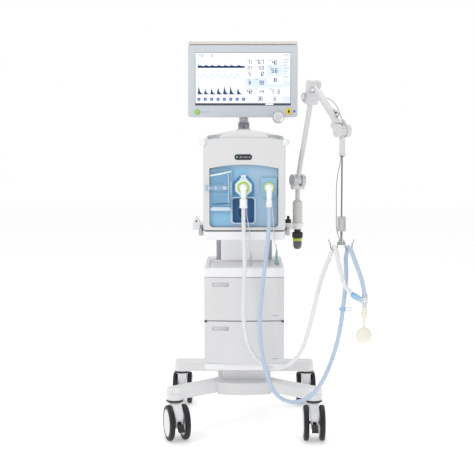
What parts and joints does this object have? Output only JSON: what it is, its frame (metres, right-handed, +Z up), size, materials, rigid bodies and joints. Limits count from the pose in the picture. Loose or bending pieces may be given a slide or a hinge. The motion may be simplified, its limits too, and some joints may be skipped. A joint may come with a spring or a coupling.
{
  "type": "mechanical ventilator",
  "caption": "Hospital ventilator on a castor trolley with a tilting display, blue patient panel with swivelling hose connectors, articulated hose arm, breathing hoses and test lung.",
  "frame": {"origin": "on the floor, midway between the four castor swivel axes", "axes": "+Z up, -Y towards the user standing in front of the display, +X towards the hose arm"},
  "size_m": [0.7238, 0.748, 1.408],
  "materials": {
    "white_housing": "fine texture, satin",
    "white_paint": "powder coat",
    "white_cast": "painted casting",
    "grey_post": "anodised",
    "steel_rail": "brushed",
    "chrome_tube": "polished",
    "satin_barrel": "satin",
    "panel_blue": "satin",
    "flap_blue": "clear tinted",
    "sensor_clear": "clear",
    "window_black": "gloss",
    "valve_white": "satin",
    "port_blue": "satin",
    "connector_white": "satin",
    "bezel_grey": "fine texture",
    "screen_glass": "lit panel",
    "light_bar": "diffusing",
    "silver_knob": "satin silver",
    "key_green": "satin",
    "key_yellow": "satin",
    "knob_black": "textured",
    "arm_white": "powder coat",
    "arm_sleeve_grey": "satin",
    "steel_rod": "brushed",
    "hose_white": "translucent silicone",
    "hose_blue": "translucent silicone",
    "wye_clear": "clear",
    "lung_cream": "soft",
    "line_clear": "clear tube",
    "castor_grey": "satin",
    "castor_tyre": "non-marking tread",
    "pedal_black": "textured",
    "grille_grey": "slatted"
  },
  "bodies": {
    "trolley": {"base_frame": "white_cast", "base_nose_cover": "white_housing", "pedestal": "white_cast", "cabinet_shell": "white_paint", "cabinet_top": "white_housing", "column_posts": "grey_post", "column_cover": "white_housing", "unit_tray": "white_housing", "front_frame": "white_housing", "rear_housing": "white_housing", "top_cover": "white_housing", "vent_grilles": "grille_grey", "side_handles": "white_housing", "front_panel": "panel_blue", "status_window": "window_black", "expiratory_valve": "valve_white", "inspiratory_port": "port_blue", "flow_sensor": "sensor_clear", "side_rails": "steel_rail", "rail_bracket": "white_housing", "rail_clamp": "white_housing", "neck_barrel": "satin_barrel", "arm_sleeve": "arm_sleeve_grey", "exp_hose": "hose_white", "insp_hose": "hose_blue", "sensor_lines": "line_clear"},
    "castor_fl": {"castor_fl_fork": "castor_grey"},
    "castor_fl_wheelset": {"castor_fl_wheels": "castor_tyre"},
    "castor_fl_brake": {"castor_fl_pedal": "pedal_black"},
    "castor_fr": {"castor_fr_fork": "castor_grey"},
    "castor_fr_wheelset": {"castor_fr_wheels": "castor_tyre"},
    "castor_fr_brake": {"castor_fr_pedal": "pedal_black"},
    "castor_rl": {"castor_rl_fork": "castor_grey"},
    "castor_rl_wheelset": {"castor_rl_wheels": "castor_tyre"},
    "castor_rl_brake": {"castor_rl_pedal": "pedal_black"},
    "castor_rr": {"castor_rr_fork": "castor_grey"},
    "castor_rr_wheelset": {"castor_rr_wheels": "castor_tyre"},
    "castor_rr_brake": {"castor_rr_pedal": "pedal_black"},
    "upper_cover_unit": {"cover_upper": "white_housing"},
    "lower_cover_unit": {"cover_lower": "white_housing"},
    "flap_unit": {"sensor_flap": "flap_blue"},
    "exp_connector": {"exp_elbow": "connector_white"},
    "insp_connector": {"insp_elbow": "connector_white"},
    "neck_unit": {"neck_tube": "chrome_tube"},
    "display_unit": {"display_back": "bezel_grey", "display_bezel": "bezel_grey", "screen_panel": "screen_glass", "alarm_light_bar": "light_bar"},
    "dial_unit": {"dial_knob": "silver_knob"},
    "power_key": {"power_button": "key_green"},
    "alarm_key": {"alarm_button": "key_yellow"},
    "clamp_screw": {"clamp_knob": "knob_black"},
    "tension_screw": {"tension_knob": "knob_black"},
    "post_unit": {"arm_post": "arm_white"},
    "link_one": {"lower_link": "arm_white"},
    "link_two": {"upper_link": "arm_white"},
    "hanger_unit": {"drop_tube": "arm_white"},
    "hook_unit": {"hanger_rod": "steel_rod", "y_piece": "wye_clear"},
    "lung_unit": {"test_lung": "lung_cream"}
  },
  "joints": [
    {"name": "castor_fl_swivel", "type": "hinge", "parent": "trolley", "child": "castor_fl", "pos_m": [-0.246, -0.245, 0.155], "axis": [0, 0, 1], "continuous": true},
    {"name": "castor_fl_roll", "type": "hinge", "parent": "castor_fl", "child": "castor_fl_wheelset", "pos_m": [-0.23723, -0.27369, 0.0625], "axis": [0.9563, 0.2924, 0], "continuous": true},
    {"name": "castor_fl_brake_press", "type": "hinge", "parent": "castor_fl", "child": "castor_fl_brake", "pos_m": [-0.22875, -0.30142, 0.062], "axis": [0.9563, 0.2924, 0], "range_deg": [0, 12]},
    {"name": "castor_fr_swivel", "type": "hinge", "parent": "trolley", "child": "castor_fr", "pos_m": [0.246, -0.245, 0.155], "axis": [0, 0, 1], "continuous": true},
    {"name": "castor_fr_roll", "type": "hinge", "parent": "castor_fr", "child": "castor_fr_wheelset", "pos_m": [0.246, -0.275, 0.0625], "axis": [1, 0, 0], "continuous": true},
    {"name": "castor_fr_brake_press", "type": "hinge", "parent": "castor_fr", "child": "castor_fr_brake", "pos_m": [0.246, -0.304, 0.062], "axis": [1, 0, 0], "range_deg": [0, 12]},
    {"name": "castor_rl_swivel", "type": "hinge", "parent": "trolley", "child": "castor_rl", "pos_m": [-0.246, 0.245, 0.155], "axis": [0, 0, 1], "continuous": true},
    {"name": "castor_rl_roll", "type": "hinge", "parent": "castor_rl", "child": "castor_rl_wheelset", "pos_m": [-0.246, 0.275, 0.0625], "axis": [-1, 0, 0], "continuous": true},
    {"name": "castor_rl_brake_press", "type": "hinge", "parent": "castor_rl", "child": "castor_rl_brake", "pos_m": [-0.246, 0.304, 0.062], "axis": [-1, 0, 0], "range_deg": [0, 12]},
    {"name": "castor_rr_swivel", "type": "hinge", "parent": "trolley", "child": "castor_rr", "pos_m": [0.246, 0.245, 0.155], "axis": [0, 0, 1], "continuous": true},
    {"name": "castor_rr_roll", "type": "hinge", "parent": "castor_rr", "child": "castor_rr_wheelset", "pos_m": [0.246, 0.275, 0.0625], "axis": [-1, 0, 0], "continuous": true},
    {"name": "castor_rr_brake_press", "type": "hinge", "parent": "castor_rr", "child": "castor_rr_brake", "pos_m": [0.246, 0.304, 0.062], "axis": [-1, 0, 0], "range_deg": [0, 12]},
    {"name": "cover_upper_pull", "type": "slide", "parent": "trolley", "child": "upper_cover_unit", "axis": [0, -1, 0], "range_m": [0, 0.07]},
    {"name": "cover_lower_pull", "type": "slide", "parent": "trolley", "child": "lower_cover_unit", "axis": [0, -1, 0], "range_m": [0, 0.07]},
    {"name": "sensor_flap_open", "type": "hinge", "parent": "trolley", "child": "flap_unit", "pos_m": [-0.083, -0.19, 0.946], "axis": [-1, 0, 0], "range_deg": [0, 80]},
    {"name": "exp_elbow_swivel", "type": "hinge", "parent": "trolley", "child": "exp_connector", "pos_m": [-0.003, -0.197, 0.8865], "axis": [0, -1, 0], "range_deg": [-20, 20], "deforming": ["exp_hose", "sensor_lines"]},
    {"name": "insp_elbow_swivel", "type": "hinge", "parent": "trolley", "child": "insp_connector", "pos_m": [0.087, -0.197, 0.8865], "axis": [0, -1, 0], "range_deg": [-20, 20], "deforming": ["insp_hose", "sensor_lines"]},
    {"name": "display_swivel", "type": "hinge", "parent": "trolley", "child": "neck_unit", "pos_m": [-0.002, 0.04, 1.11], "axis": [0, 0, 1], "range_deg": [-35, 35]},
    {"name": "display_tilt", "type": "hinge", "parent": "neck_unit", "child": "display_unit", "pos_m": [-0.002, 0.04, 1.215], "axis": [1, 0, 0], "range_deg": [-20, 15]},
    {"name": "dial_knob_turn", "type": "hinge", "parent": "display_unit", "child": "dial_unit", "pos_m": [0.1236, -0.06, 1.1345], "axis": [0, -1, 0], "continuous": true},
    {"name": "power_button_press", "type": "slide", "parent": "display_unit", "child": "power_key", "axis": [0, 1, 0], "range_m": [0, 0.0015]},
    {"name": "alarm_button_press", "type": "slide", "parent": "display_unit", "child": "alarm_key", "axis": [0, 1, 0], "range_m": [0, 0.0015]},
    {"name": "clamp_knob_turn", "type": "hinge", "parent": "trolley", "child": "clamp_screw", "pos_m": [0.161, -0.05, 0.757], "axis": [0, 0, 1], "continuous": true},
    {"name": "tension_knob_turn", "type": "hinge", "parent": "trolley", "child": "tension_screw", "pos_m": [0.195, -0.05, 0.707], "axis": [0, 0, 1], "continuous": true},
    {"name": "arm_swivel", "type": "hinge", "parent": "trolley", "child": "post_unit", "pos_m": [0.195, -0.05, 0.8], "axis": [0, 0, 1], "range_deg": [-40, 50], "deforming": ["exp_hose", "insp_hose"]},
    {"name": "arm_joint_one", "type": "hinge", "parent": "post_unit", "child": "link_one", "pos_m": [0.195, -0.05, 0.906], "axis": [0.9121, 0.4099, 0], "range_deg": [-6, 20], "deforming": ["exp_hose", "insp_hose"]},
    {"name": "arm_joint_two", "type": "hinge", "parent": "link_one", "child": "link_two", "pos_m": [0.2439, -0.15881, 1.24799], "axis": [0.9121, 0.4099, 0], "range_deg": [-20, 12], "deforming": ["exp_hose", "insp_hose"]},
    {"name": "arm_joint_three", "type": "hinge", "parent": "link_two", "child": "hanger_unit", "pos_m": [0.33029, -0.35102, 1.086], "axis": [-0.9121, -0.4099, 0], "range_deg": [-20, 20], "deforming": ["exp_hose", "insp_hose"]},
    {"name": "hanger_swivel", "type": "hinge", "parent": "hanger_unit", "child": "hook_unit", "pos_m": [0.33029, -0.35102, 1.011], "axis": [0, 0, 1], "range_deg": [-30, 30], "deforming": ["exp_hose", "insp_hose"]},
    {"name": "test_lung_swivel", "type": "hinge", "parent": "hook_unit", "child": "lung_unit", "pos_m": [0.40979, -0.372, 0.47], "axis": [0, 0, 1], "continuous": true}
  ]
}
